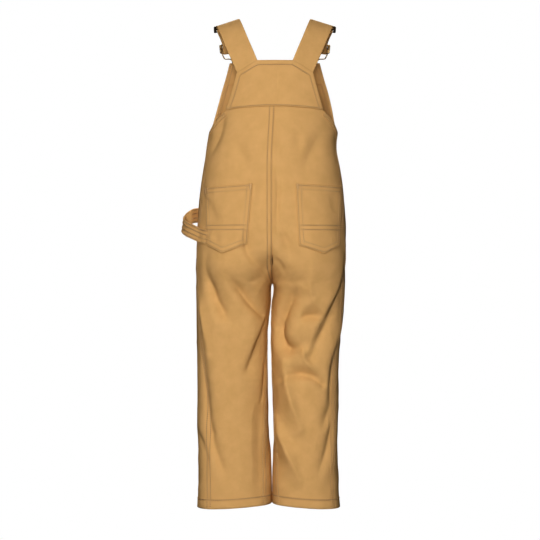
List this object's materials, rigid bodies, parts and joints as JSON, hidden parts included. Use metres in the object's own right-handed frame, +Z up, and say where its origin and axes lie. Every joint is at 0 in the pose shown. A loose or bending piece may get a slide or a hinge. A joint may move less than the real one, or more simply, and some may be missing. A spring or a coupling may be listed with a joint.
{
  "type": "child's bib overalls",
  "caption": "Child's bib overalls in stiff twill, filled out as if worn, with strap buckles, seat pockets and a hip loop.",
  "frame": {"origin": "between the two shoulder straps, level with the underside of each where it crosses the shoulder", "axes": "+Z up, -Y the way the wearer faces, +X the wearer's left"},
  "size_m": [0.2702, 0.1612, 0.8068],
  "materials": {
    "twill": "tan cotton twill, matt, with tone-on-tone double stitching",
    "brass": "antique brass, slightly dulled"
  },
  "bodies": {
    "root": {"back_yoke": "twill", "front_bib": "twill", "bib_facing": "twill", "back_panel_left": "twill", "back_panel_right": "twill", "front_panel_left": "twill", "front_panel_right": "twill", "back_pocket_left": "twill", "back_pocket_right": "twill", "armhole_binding_left": "twill", "armhole_binding_right": "twill", "strap_left": "twill", "strap_right": "twill", "hip_loop": "twill", "slider_left": "brass", "slider_right": "brass", "buckle_left": "brass", "buckle_right": "brass", "bib_button_left": "brass", "bib_button_right": "brass"}
  },
  "joints": []
}
